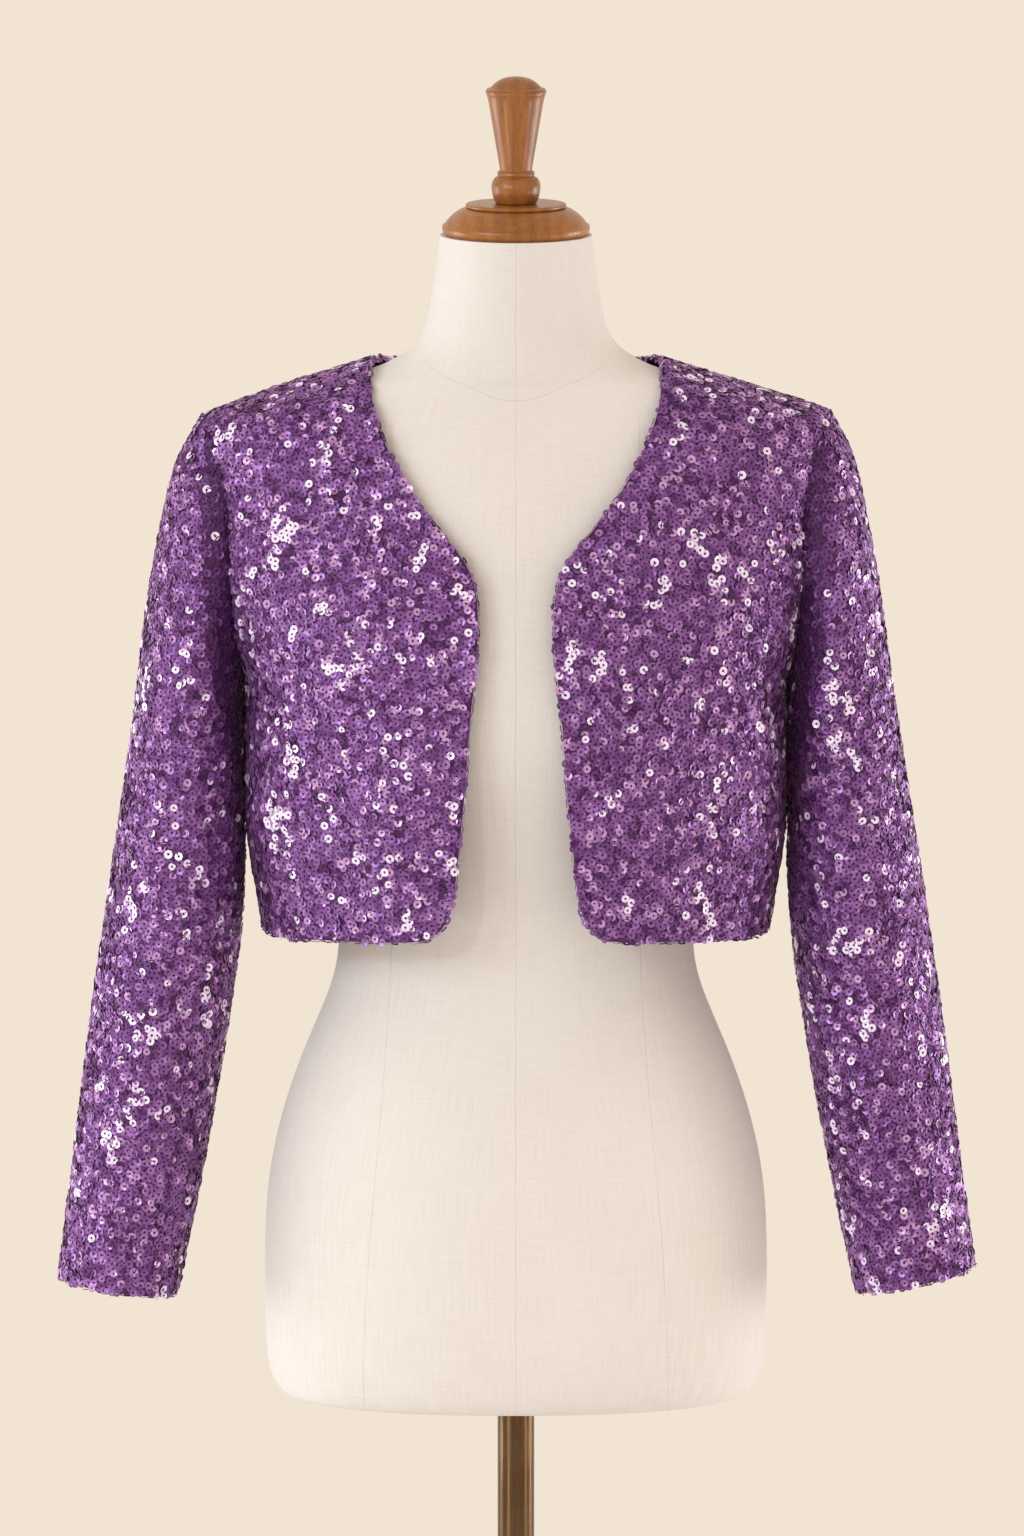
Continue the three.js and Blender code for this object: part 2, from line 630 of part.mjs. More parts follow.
// One side of the jacket: a front, half a back and a sleeve whose seams share their normals,
// so that the walls meet in a mitre.
function jacketSide(side) {
  const grids = { front: panelGrid("front"), back: panelGrid("back") };
  const sleeve = sleeveGrid(side);
  [...grids.front, ...grids.back, ...sleeve].flat().forEach((point) => {
    const out = smoothStep((point.x - 148) / 62);
    const up = smoothStep((point.z - UNDERARM_HEIGHT) / 150);
    point.z -= SHOULDER_DROP[side] * out * up;
  });
  const normals = {};
  for (const face of ["front", "back"]) {
    const outward = () => {
      const found = gridNormals(grids[face], false);
      return face === "front" ? found : negate(found);
    };
    foldBody(grids[face], outward(), face, side);
    normals[face] = outward();
  }
  foldSleeve(sleeve, negate(gridNormals(sleeve, true)), side);
  const sleeveNormals = negate(gridNormals(sleeve, true));

  const frontEnd = grids.front[0].length - 1;
  const backEnd = grids.back[0].length - 1;
  const share = (...found) => {
    const sum = found.reduce((total, n) => total.add(n), new THREE.Vector3()).normalize();
    found.forEach((n) => n.copy(sum));
    return sum;
  };
  grids.front[0].forEach((point, c) => {
    const along = grids.front[0][Math.min(c + 1, frontEnd)]
      .clone()
      .sub(grids.front[0][Math.max(c - 1, 0)]);
    normals.front[0][c].set(-along.z, 0, along.x).normalize();
  });
  for (let c = BACK_NECK_COLUMNS; c <= backEnd; c++) {
    const nearest = Math.round(((c - BACK_NECK_COLUMNS) / SHOULDER_COLUMNS) * frontEnd);
    normals.back[0][c].copy(normals.front[0][nearest]);
  }
  for (let r = ARMHOLE_STEPS; r < grids.front.length; r++) {
    share(normals.front[r][frontEnd], normals.back[r][backEnd]);
  }
  const around = 2 * ARMHOLE_STEPS;
  for (let i = 0; i < around; i++) {
    const k = Math.min(i, around - i);
    const sewn = [sleeveNormals[0][i]];
    if (i <= ARMHOLE_STEPS) sewn.push(normals.front[k][frontEnd]);
    if (i >= ARMHOLE_STEPS || i === 0) sewn.push(normals.back[k][backEnd]);
    // Under the arm the cloth folds back on itself, so the seam's mitre points down.
    const fold = 1.2 * smoothStep((2 * k) / ARMHOLE_STEPS - 1);
    sewn[0].z -= fold;
    share(...sewn);
  }

  for (const [face, end] of [
    ["front", frontEnd],
    ["back", backEnd],
  ]) {
    const grid = grids[face];
    const firstSewn = face === "front" ? 0 : BACK_NECK_COLUMNS;
    openSeam(grid[0].slice(firstSewn), grid[1].slice(firstSewn));
    openSeam(grid.map((row) => row[end]), grid.map((row) => row[end - 1]));
  }
  sleeve[0].forEach((point, i) => {
    const low = smoothStep(1 - Math.cos((2 * Math.PI * i) / around) - 0.9);
    point.x += SEAM_GAP * mix(0.7, 2, low);
  });
  return { ...grids, sleeve, normals, sleeveNormals };
}

// Two mirrored halves of the back joined along the middle.
function backGeometry(left, right) {
  const mirror = (v) => new THREE.Vector3(-v.x, v.y, v.z);
  const whole = (ofLeft, ofRight) =>
    ofLeft.map((row, r) => [
      ...ofRight[r].slice(1).reverse().map(mirror),
      new THREE.Vector3(0, row[0].y, row[0].z),
      ...row.slice(1),
    ]);
  const points = whole(left.back, right.back);
  const normals = whole(left.normals.back, right.normals.back);
  const middle = left.back[0].length - 1;
  normals.forEach((row) => (row[middle] = row[middle + 1].clone().setX(0).normalize()));
  return wallGeometry(points, normals, { reversed: true });
}

// Dress form and stand

// How much the bust stands out of the form's front.
function bustRise(x, height) {
  const up = Math.exp(-(((height - BUST.height) / BUST.along) ** 2));
  const mound = (middle) => Math.exp(-(((x - middle) / BUST.across) ** 2));
  return BUST.rise * up * (mound(BUST.apart) + mound(-BUST.apart));
}

function formRing(section) {
  return Array.from({ length: FORM_SEGMENTS }, (_, i) => {
    const angle = (2 * Math.PI * i) / FORM_SEGMENTS;
    const [sin, cos] = [Math.sin(angle), Math.cos(angle)];
    const power = 2 / section.squareness;
    const x = section.halfWidth * Math.sign(sin) * Math.abs(sin) ** power;
    const depth = cos > 0 ? section.front : section.back;
    const y = -depth * Math.sign(cos) * Math.abs(cos) ** power;
    const bust = cos > 0 ? bustRise(x, section.height) * Math.min(1, cos * 2) : 0;
    return new THREE.Vector3(x, y - bust, section.height);
  });
}

function circle(radius, height) {
  return formRing({ height, halfWidth: radius, front: radius, back: radius, squareness: 2 });
}

// A closed solid through rings, with a point at each end.
function loftedGeometry(rings, firstPoint, lastPoint) {
  const count = rings[0].length;
  const points = [firstPoint, ...rings.flat(), lastPoint];
  const at = (ring, i) => 1 + ring * count + (i % count);
  const faces = [];
  for (let i = 0; i < count; i++) {
    faces.push(0, at(0, i), at(0, i + 1));
    for (let r = 0; r < rings.length - 1; r++) {
      faces.push(at(r, i), at(r + 1, i), at(r + 1, i + 1));
      faces.push(at(r, i), at(r + 1, i + 1), at(r, i + 1));
    }
    faces.push(at(rings.length - 1, i), points.length - 1, at(rings.length - 1, i + 1));
  }
  const geometry = new THREE.BufferGeometry().setFromPoints(points);
  geometry.setIndex(faces);
  return geometry;
}

// The covered torso, with the pole's socket in its underside.
function torsoGeometry() {
  const [first, last] = [FORM_SECTIONS[0], FORM_SECTIONS.at(-1)];
  const bore = POLE_RADIUS + SEAT_GAP;
  const socketTop = SOCKET_TOP + SEAT_GAP;
  const rings = [...FORM_SECTIONS.map(formRing), circle(bore, last.height), circle(bore, socketTop)];
  const topPoint = new THREE.Vector3(0, 0, first.height);
  return loftedGeometry(rings, topPoint, new THREE.Vector3(0, 0, socketTop));
}

// A turned piece from a profile of radius and height, with its axis upright.
function turnedGeometry(profile, base) {
  const points = profile.map(([radius, height]) => new THREE.Vector2(radius, base + height));
  return new THREE.LatheGeometry(points.reverse(), TURNED_SEGMENTS).rotateX(Math.PI / 2);
}

function finialGeometry() {
  const base = CAP_TOP + SEAT_GAP;
  const stud = [
    [STUD_RADIUS, 0],
    [STUD_RADIUS, -STUD_LENGTH],
    [0, -STUD_LENGTH],
  ];
  return turnedGeometry([...FINIAL_PROFILE, ...stud], base);
}

function capGeometry() {
  const height = CAP_TOP - CAP_BOTTOM;
  const bore = STUD_RADIUS + SEAT_GAP;
  const floor = height - STUD_LENGTH;
  const socket = [
    [0, floor],
    [bore, floor],
    [bore, height],
  ];
  return turnedGeometry([...socket, ...CAP_PROFILE, [0, 0]], CAP_BOTTOM);
}

function poleGeometry() {
  const bottom = POLE_BOTTOM + SEAT_GAP;
  const length = SOCKET_TOP - bottom;
  return turnedGeometry(
    [
      [0, length],
      [POLE_RADIUS, length],
      [POLE_RADIUS, 0],
      [0, 0],
    ],
    bottom,
  );
}

function footGeometry() {
  const bore = POLE_RADIUS + SEAT_GAP;
  const socket = [
    [0, POLE_BOTTOM],
    [bore, POLE_BOTTOM],
    [bore, COLLAR_TOP],
  ];
  return turnedGeometry([...socket, ...FOOT_PROFILE], 0);
}

function piece(name, geometry, colour) {
  const mesh = new THREE.Mesh(geometry, new THREE.MeshStandardMaterial(COLOURS[colour]));
  mesh.name = name;
  return mesh;
}

function buildStand() {
  const stand = new THREE.Group();
  stand.add(piece("stand_foot", footGeometry(), "bronze"));
  stand.add(piece("stand_pole", poleGeometry(), "bronze"));
  return stand;
}

function buildForm() {
  const form = new THREE.Group();
  form.add(piece("form_torso", torsoGeometry(), "linen"));
  form.add(piece("neck_cap", capGeometry(), "wood"));
  form.add(piece("finial", finialGeometry(), "wood"));
  return form;
}

function buildJacket() {
  const jacket = new THREE.Group();
  const sides = { left: jacketSide("left"), right: jacketSide("right") };
  for (const [side, made] of Object.entries(sides)) {
    const mirrored = side === "right";
    const front = wallGeometry(made.front, made.normals.front, { mirrored });
    const tube = { closed: true, reversed: true, mirrored };
    const sleeve = wallGeometry(made.sleeve, made.sleeveNormals, tube);
    jacket.add(piece(`front_${side}`, front, "sequinCloth"));
    jacket.add(piece(`sleeve_${side}`, sleeve, "sequinCloth"));
  }
  jacket.add(piece("back", backGeometry(sides.left, sides.right), "sequinCloth"));
  return jacket;
}

const bolero = new THREE.Group();
bolero.add(buildStand(), buildForm(), buildJacket());

export default bolero;
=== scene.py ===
"""Looks for a sequinned bolero jacket on a covered dress form.

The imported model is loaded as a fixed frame. Every solid gets a smooth twin with a finish of
its own, the cloth gets its sequins, and a plain pale studio is set around it all. Lengths are
in metres, +Z is up, the front faces -Y and +X is the wearer's left.
"""

from __future__ import annotations

import json
import logging
import math
from dataclasses import dataclass, field
from enum import Enum

import bmesh
import bpy
import numpy as np
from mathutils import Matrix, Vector
from mathutils.bvhtree import BVHTree

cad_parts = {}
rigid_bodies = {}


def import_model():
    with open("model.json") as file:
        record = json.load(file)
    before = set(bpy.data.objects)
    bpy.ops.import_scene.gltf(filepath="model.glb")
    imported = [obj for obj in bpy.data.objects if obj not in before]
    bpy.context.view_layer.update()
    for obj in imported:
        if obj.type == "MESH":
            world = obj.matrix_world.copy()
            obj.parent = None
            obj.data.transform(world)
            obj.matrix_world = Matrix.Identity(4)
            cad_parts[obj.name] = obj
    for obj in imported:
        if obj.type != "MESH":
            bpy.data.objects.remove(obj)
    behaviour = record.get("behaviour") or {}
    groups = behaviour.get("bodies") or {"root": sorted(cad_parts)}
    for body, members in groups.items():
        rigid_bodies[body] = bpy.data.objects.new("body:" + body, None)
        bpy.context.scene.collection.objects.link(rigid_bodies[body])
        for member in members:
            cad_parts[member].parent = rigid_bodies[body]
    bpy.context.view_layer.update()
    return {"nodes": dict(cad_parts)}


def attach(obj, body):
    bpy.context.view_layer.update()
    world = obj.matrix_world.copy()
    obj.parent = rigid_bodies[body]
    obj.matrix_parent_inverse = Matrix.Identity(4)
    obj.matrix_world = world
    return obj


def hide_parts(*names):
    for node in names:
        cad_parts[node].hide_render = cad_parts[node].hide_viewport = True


LOG = logging.getLogger("bolero")
MM = 0.001
TURN = 2 * math.pi
Colour = tuple[float, float, float]
Point = tuple[float, float, float]


class Slot(str, Enum):
    """Material slots of the record."""

    SEQUIN_CLOTH = "sequin_cloth"
    LINEN = "linen"
    WOOD = "turned_wood"
    BRONZE = "dark_bronze"


class Hold(str, Enum):
    """How a sheet of cloth is held."""

    DRAPED = "draped"
    HUNG = "hung"


@dataclass(frozen=True)
class PhotoView:
    """The photograph's frame: which point it looks at, from where and how large."""

    height: int = 1536
    mm_per_pixel: float = 0.68
    target_mm: Point = (-2.7, 0.0, 1066.7)
    elevation_degrees: float = 8.0
    distance: float = 15.0
    sensor_mm: float = 36.0
    nearest: float = 0.5
    farthest: float = 100.0

    @property
    def lens_mm(self) -> float:
        """Focal length that fits the frame's height to the sensor's longer side."""
        frame_height = self.height * self.mm_per_pixel * MM
        return self.sensor_mm * self.distance / frame_height


@dataclass(frozen=True)
class Panel:
    """A piece of the jacket and the size it was cut to.

    centres are points of a line inside the piece, in millimetres: cloth that faces away from
    that line is the outside.
    """

    node: str
    flat: tuple[float, float]
    area: float
    hold: Hold
    rests_on: tuple[str, ...]
    centres: tuple[Point, ...]
    seed: int
    spacing: float = 3.12 * MM


@dataclass(frozen=True)
class Crease:
    """The crease beside the front where each sleeve turns away, and its painted shade."""

    low: float = 1030 * MM
    high: float = 1180 * MM
    narrow: float = 190 * MM
    wide: float = 212 * MM
    beside: tuple[float, float] = (-3 * MM, 4 * MM)
    forward: tuple[float, float] = (15 * MM, 30 * MM)
    # How far the lot drops towards the darkest tints in the crease: painted shade.
    painted_darkening: float = 0.86
    fewer_glints: float = 0.9


@dataclass(frozen=True)
class SequinSowing:
    """How sequins are tilted, lifted and mixed over the outside of a panel."""

    tilt: float = 0.3
    lift: float = 0.68 * MM
    lowest_layer: float = 0.35
    highest_layer: float = 1.45
    glint_layer: float = 0.5
    smallest: float = 0.86
    largest: float = 1.06
    # The fields below lay the pale painted-glint tint in loose clusters.
    clusters_per_metre: float = 72.0
    cluster_edge: tuple[float, float] = (0.57, 0.7)
    cluster_stretch: Point = (1.0, 1.0, 0.5)
    glints_outside: float = 0.014
    glints_in_cluster: float = 0.46


BODY_LINE = ((0.0, 0.0, 930.0), (0.0, 0.0, 1190.0))


def sleeve_line(side: int) -> tuple[Point, ...]:
    """Returns the line inside a sleeve, from the armhole to the cuff.

    Args:
        side: 1 for the wearer's left, -1 for the right.

    Returns:
        The line's points, in millimetres.
    """
    points = (
        (199.0, 0.0, 1216.0),
        (212.0, 0.0, 1180.0),
        (219.0, 0.0, 1115.0),
        (224.0, -1.0, 1050.0),
        (239.0, -7.0, 930.0),
        (270.0, -17.0, 700.0),
    )
    return tuple((side * x, y, z) for x, y, z in points)


PANELS = (
    Panel("front_left", (0.23, 0.4), 0.075, Hold.DRAPED, ("form_torso",), BODY_LINE, 11),
    Panel("front_right", (0.23, 0.4), 0.075, Hold.DRAPED, ("form_torso",), BODY_LINE, 23),
    Panel("back", (0.5, 0.4), 0.185, Hold.DRAPED, ("form_torso",), BODY_LINE, 37, 3.35 * MM),
    Panel("sleeve_left", (0.36, 0.6), 0.153, Hold.HUNG, ("front_left",), sleeve_line(1), 41),
    Panel("sleeve_right", (0.36, 0.6), 0.153, Hold.HUNG, ("front_right",), sleeve_line(-1), 59),
)


class Tree:
    """A node tree with one way to add a node and one way to feed a socket."""

    def __init__(self, tree: bpy.types.NodeTree) -> None:
        """Wraps a tree."""
        self.tree = tree

    def add(self, kind: str, inputs: dict | None = None, **settings: object) -> bpy.types.Node:
        """Adds a node.

        Args:
            kind: The node's type name.
            inputs: Values or Signals for its inputs, by name or number.
            **settings: The node's own properties.

        Returns:
            The new node.
        """
        node = self.tree.nodes.new(kind)
        for name, value in settings.items():
            setattr(node, name, value)
        for key, value in (inputs or {}).items():
            self.feed(node.inputs[key], value)
        return node

    def feed(self, socket: bpy.types.NodeSocket, value: object) -> None:
        """Links an input, or sets its own value.

        Args:
            socket: The input.
            value: A Signal or output socket to link, or a plain value.
        """
        if isinstance(value, Signal):
            value = value.socket
        if isinstance(value, bpy.types.NodeSocket):
            self.tree.links.new(value, socket)
        else:
            socket.default_value = value

    def signal(
        self,
        kind: str,
        output: str | int = 0,
        inputs: dict | None = None,
        **settings: object,
    ) -> Signal:
        """Adds a node and returns one of its outputs.

        Args:
            kind: The node's type name.
            output: The output's name or number.
            inputs: Values or Signals for its inputs, by name or number.
            **settings: The node's own properties.

        Returns:
            The output as a Signal.
        """
        return Signal(self, self.add(kind, inputs, **settings).outputs[output])

    def split(self, vector: Signal) -> tuple[Signal, Signal, Signal]:
        """Returns the x, y and z of a vector."""
        parts = self.add("ShaderNodeSeparateXYZ", {0: vector})
        return tuple(Signal(self, parts.outputs[i]) for i in range(3))

    def vector(self, x: object, y: object, z: object) -> Signal:
        """Joins three signals or numbers into a vector."""
        return self.signal("ShaderNodeCombineXYZ", 0, {0: x, 1: y, 2: z})


class Signal:
    """An output socket that takes part in sums, products and comparisons."""

    def __init__(self, tree: Tree, socket: bpy.types.NodeSocket) -> None:
        """Wraps a socket and remembers the tree it is in."""
        self.tree = tree
        self.socket = socket

    def math(self, operation: str, *others: object) -> Signal:
        """Applies a Math node.

        Args:
            operation: What the node does.
            *others: Signals or numbers after this one.

        Returns:
            The node's result.
        """
        inputs = dict(enumerate((self, *others)))
        return self.tree.signal("ShaderNodeMath", 0, inputs, operation=operation)

    def __add__(self, other: object) -> Signal:
        """Returns the sum."""
        return self.math("ADD", other)

    def __sub__(self, other: object) -> Signal:
        """Returns this signal less another value."""
        return self.math("SUBTRACT", other)

    def __rsub__(self, other: float) -> Signal:
        """Returns a number less this signal."""
        return (self * -1.0) + other

    def __mul__(self, other: object) -> Signal:
        """Returns the product."""
        return self.math("MULTIPLY", other)

    __radd__ = __add__
    __rmul__ = __mul__

    def __truediv__(self, other: object) -> Signal:
        """Returns the quotient."""
        return self.math("DIVIDE", other)

    def __abs__(self) -> Signal:
        """Returns the size without its sign."""
        return self.math("ABSOLUTE")

    def sine(self) -> Signal:
        """Returns the sine of this signal."""
        return self.math("SINE")

    def larger(self, other: object) -> Signal:
        """Returns the larger of this signal and another value."""
        return self.math("MAXIMUM", other)

    def smaller(self, other: object) -> Signal:
        """Returns the smaller of this signal and another value."""
        return self.math("MINIMUM", other)

    def above(self, other: object) -> Signal:
        """Returns 1 where this signal is above another value, else 0."""
        return self.math("GREATER_THAN", other)

    def ramp(self, low: object, high: object, at_low: object = 0.0, at_high: object = 1.0) -> Signal:
        """Maps a range smoothly to another.

        Args:
            low: Where the range starts.
            high: Where it ends.
            at_low: The result up to low.
            at_high: The result from high on.

        Returns:
            The mapped signal.
        """
        inputs = {"Value": self, 1: low, 2: high, 3: at_low, 4: at_high}
        return self.tree.signal("ShaderNodeMapRange", 0, inputs, interpolation_type="SMOOTHSTEP")


class Finish(Tree):
    """A node material on one Principled shader."""

    def __init__(self, name: str, **constants: object) -> None:
        """Makes the material with its shader.

        Args:
            name: The material's name.
            **constants: Values of the shader's own sockets, with _ for a space.
        """
        self.material = bpy.data.materials.new(name)
        self.material.use_nodes = True
        super().__init__(self.material.node_tree)
        self.tree.nodes.clear()
        self.shader = self.add("ShaderNodeBsdfPrincipled")
        self.add("ShaderNodeOutputMaterial", {"Surface": self.shader.outputs["BSDF"]})
        for key, value in constants.items():
            self.set(key.replace("_", " "), value)

    def set(self, name: str, value: object) -> None:
        """Sets or links one of the shader's inputs, and the viewport colour with it.

        Args:
            name: The input's name.
            value: A plain value, a Colour or a Signal.
        """
        if name == "Base Color" and isinstance(value, tuple):
            value = (*value, 1.0)
            self.material.diffuse_color = value
        self.feed(self.shader.inputs[name], value)

    def place(self) -> tuple[Signal, Signal, Signal]:
        """Returns the object's own x, y and z, in metres."""
        return self.split(self.signal("ShaderNodeTexCoord", "Object"))

    def noise(self, at: Signal, scale: float, detail: float = 3.0, rough: float = 0.5) -> Signal:
        """Returns smooth noise around 0.5, read at a place with scale blotches to the metre."""
        inputs = {"Vector": at, "Scale": scale, "Detail": detail, "Roughness": rough}
        return self.signal("ShaderNodeTexNoise", 0, inputs)

    def grain(
        self,
        place: tuple[Signal, Signal, Signal],
        per_metre: Point,
        detail: float = 3.0,
        rough: float = 0.5,
    ) -> Signal:
        """Makes noise that is finer across a piece than along it.

        Args:
            place: The object's own x, y and z, in metres.
            per_metre: How many streaks go on a metre along x, y and z.
            detail: How many finer layers it has.
            rough: How strong those are.

        Returns:
            The noise, around 0.5.
        """
        x, y, z = (axis * pitch for axis, pitch in zip(place, per_metre))
        return self.noise(self.vector(x, y, z), 1.0, detail, rough)

    def blend(self, share: Signal, first: Colour, second: Colour) -> Signal:
        """Mixes two colours by a share."""
        inputs = {0: share, 6: (*first, 1.0), 7: (*second, 1.0)}
        return self.signal("ShaderNodeMix", 2, inputs, data_type="RGBA")

    def bump(self, height: Signal, distance: float, strength: float = 1.0) -> None:
        """Raises the surface by a height signal, for shading only."""
        inputs = {"Height": height, "Distance": distance, "Strength": strength}
        self.set("Normal", self.signal("ShaderNodeBump", 0, inputs))


class Linen(Finish):
    """A fine plain weave, drawn smooth over the form, with its sewn seams."""

    DARK: Colour = (0.61, 0.547, 0.512)
    LIGHT: Colour = (0.845, 0.808, 0.797)
    GIRTH_RADIUS = 145 * MM
    THREAD = 0.95 * MM
    THREAD_DRIFT = 3.0 * MM
    DRIFTS_PER_METRE = 22.0
    SLUBS_UP = (560.0, 30.0)
    SLUBS_OVER = (30.0, 700.0)
    CLOUDS_PER_METRE = 7.0
    RELIEF = 0.22 * MM
    SEAM_HALF = 0.55 * MM
    NECK_SEAM_HALF = 0.5 * MM
    PRINCESS_HEIGHTS = (660 * MM, 980 * MM)
    PRINCESS_PLACES = (103 * MM, 84 * MM)
    PRINCESS_TOP = (1300 * MM, 1320 * MM)
    SIDE_TOP = (1300 * MM, 1330 * MM)
    NECK_FRONT = 1324.8 * MM
    NECK_RISE = 31.5 * MM
    NECK_FADE = (50 * MM, 72 * MM)
    FRONT_FADE = (-30 * MM, -10 * MM)

    def __init__(self) -> None:
        """Builds the nodes."""
        super().__init__(
            "linen_cover", Specular_IOR_Level=0.15, Sheen_Weight=0.5, Sheen_Roughness=0.5
        )
        x, y, z = self.place()
        weave = self._weave(x, y, z)
        seams = self._seams(x, y, z)
        front = y.ramp(*self.FRONT_FADE, 1.0, 0.0).larger(0.6)
        cloudy = self.noise(self.vector(x, y, z), self.CLOUDS_PER_METRE)
        tone = (weave * 0.68 + cloudy * 0.35 - seams * 0.3 * front).ramp(-0.1, 1.0)
        self.set("Base Color", self.blend(tone, self.DARK, self.LIGHT))
        self.set("Roughness", weave.ramp(0.0, 1.2, 0.9, 0.78))
        self.bump(weave * 0.6 - seams * 1.1, self.RELIEF, 0.6)

    def _weave(self, x: Signal, y: Signal, z: Signal) -> Signal:
        """Weaves the threads, each with its thicker stretches.

        Args:
            x: The object's own x, in metres.
            y: Its y.
            z: Its z.

        Returns:
            The height of the threads.
        """
        girth = x.math("ARCTAN2", y * -1.0) * self.GIRTH_RADIUS
        turns = TURN / self.THREAD
        wavy = self.noise(self.vector(girth, z, 0.0), self.DRIFTS_PER_METRE, 2.0)
        drift = wavy * self.THREAD_DRIFT
        warp = abs(((girth + drift) * turns).sine())
        weft = abs(((z + drift) * turns).sine())
        slub_up = self._slubs(girth, z, self.SLUBS_UP, 1.0)
        slub_over = self._slubs(girth, z, self.SLUBS_OVER, 2.0)
        return warp * slub_up * 1.25 + weft * slub_over * 0.75

    def _slubs(
        self, girth: Signal, z: Signal, per_metre: tuple[float, float], layer: float
    ) -> Signal:
        """Returns noise on the unrolled cloth, for the thicker stretches of its threads."""
        at = self.vector(girth * per_metre[0], z * per_metre[1], layer)
        return self.noise(at, 1.0, 2.0)

    def _seams(self, x: Signal, y: Signal, z: Signal) -> Signal:
        """Draws the centre, princess, side and neck seams.

        Args:
            x: The object's own x, in metres.
            y: Its y.
            z: Its z.

        Returns:
            1 on a seam, else 0.
        """
        centre = self._seam(x, self.SEAM_HALF)
        princess_x = z.ramp(*self.PRINCESS_HEIGHTS, *self.PRINCESS_PLACES)
        princess = self._seam(abs(x) - princess_x, self.SEAM_HALF)
        princess = princess * z.ramp(*self.PRINCESS_TOP, 1.0, 0.0)
        side = self._seam(y, self.SEAM_HALF) * z.ramp(*self.SIDE_TOP, 1.0, 0.0)
        forward = y.smaller(0.0)
        sideways = x * x / (x * x + forward * forward).larger(1e-6)
        neck = self._seam(z - sideways * self.NECK_RISE - self.NECK_FRONT, self.NECK_SEAM_HALF)
        neck = neck * abs(x).ramp(*self.NECK_FADE, 1.0, 0.0)
        return (centre + princess + side + neck).smaller(1.0)

    @staticmethod
    def _seam(offset: Signal, half_width: float) -> Signal:
        """Returns 1 on a line where offset is zero, falling to 0 at half_width."""
        return abs(offset).ramp(0.0, half_width, 1.0, 0.0)


class SequinNet(Finish):
    """The dark net with its backing that carries the sequins and shows inside the sleeves."""

    DARK: Colour = (0.07, 0.02, 0.09)
    LIGHT: Colour = (0.15, 0.055, 0.19)
    CELL = 1.4 * MM
    SLANT = 0.7
    MOTTLES_PER_METRE = 60.0
    RELIEF = 0.3 * MM

    def __init__(self) -> None:
        """Builds the nodes."""
        super().__init__("sequin_net", Specular_IOR_Level=0.05)
        x, y, z = self.place()
        turns = TURN / self.CELL
        rising = ((x + y * self.SLANT + z) * turns).sine()
        falling = ((x - y * self.SLANT - z) * turns).sine()
        diagonal = rising * falling
        mottle = self.noise(self.vector(x, y, z), self.MOTTLES_PER_METRE)
        tone = (diagonal * 0.3 + mottle).ramp(0.15, 0.95)
        self.set("Base Color", self.blend(tone, self.DARK, self.LIGHT))
        self.set("Roughness", mottle.ramp(0.3, 0.7, 0.98, 0.85))
        self.bump(diagonal + mottle, self.RELIEF, 0.6)


class VarnishedWood(Finish):
    """Reddish-brown turned hardwood under a glossy varnish."""

    DARK: Colour = (0.15, 0.044, 0.009)
    LIGHT: Colour = (0.395, 0.145, 0.028)
    RING = 11 * MM
    WANDER = 16 * MM
    WANDER_PITCH: Point = (18.0, 18.0, 4.0)
    GRAIN_PITCH: Point = (420.0, 420.0, 16.0)
    PORE_PITCH: Point = (1500.0, 1500.0, 60.0)
    RELIEF = 0.06 * MM

    def __init__(self) -> None:
        """Builds the nodes."""
        super().__init__(
            "varnished_wood", Specular_IOR_Level=0.35, Coat_Roughness=0.14, Coat_Weight=0.22
        )
        place = self.place()
        wander = self.grain(place, self.WANDER_PITCH)
        rings = ((place[0] + wander * self.WANDER) * (TURN / self.RING)).sine() * 0.5 + 0.5
        grain = self.grain(place, self.GRAIN_PITCH, 4.0, 0.65)
        pores = self.grain(place, self.PORE_PITCH, 1.0)
        tone = rings * 0.1 + grain * 0.5 + wander * 0.6 - pores.ramp(0.3, 0.4, 0.14, 0.0)
        self.set("Base Color", self.blend(tone.ramp(0.25, 0.95), self.DARK, self.LIGHT))
        self.set("Roughness", grain.ramp(0.3, 0.7, 0.42, 0.28))
        self.bump(grain - pores.ramp(0.3, 0.4, 0.5, 0.0), self.RELIEF, 0.4)


class DarkBronze(Finish):
    """Dark bronze satin metal with fine lengthwise brushing and faint handling marks."""

    DARK: Colour = (0.097, 0.052, 0.021)
    LIGHT: Colour = (0.142, 0.086, 0.042)
    BRUSHING_PITCH: Point = (1400.0, 1400.0, 30.0)
    MARKS_PER_METRE = 30.0
    RELIEF = 0.02 * MM

    def __init__(self) -> None:
        """Builds the nodes."""
        super().__init__("dark_bronze", Metallic=0.9, Specular_IOR_Level=0.5)
        place = self.place()
        brushed = self.grain(place, self.BRUSHING_PITCH, 2.0)
        marks = self.noise(self.vector(*place), self.MARKS_PER_METRE, 4.0)
        tone = (brushed * 0.5 + marks * 0.5).ramp(0.3, 0.7)
        self.set("Base Color", self.blend(tone, self.DARK, self.LIGHT))
        self.set("Roughness", (marks * 0.6 + brushed * 0.4).ramp(0.3, 0.7, 0.2, 0.3))
        self.bump(brushed, self.RELIEF, 0.15)


class StudioFloor(Finish):
    """A matt studio floor."""

    DARK: Colour = (0.83, 0.82, 0.805)
    LIGHT: Colour = (0.84245, 0.8323, 0.817075)
    CLOUDS_PER_METRE = 0.6

    def __init__(self) -> None:
        """Builds the nodes."""
        super().__init__("studio_floor", Specular_IOR_Level=0.0, Roughness=1.0)
        cloud = self.noise(self.vector(*self.place()), self.CLOUDS_PER_METRE, 2.0)
        self.set("Base Color", self.blend(cloud, self.DARK, self.LIGHT))


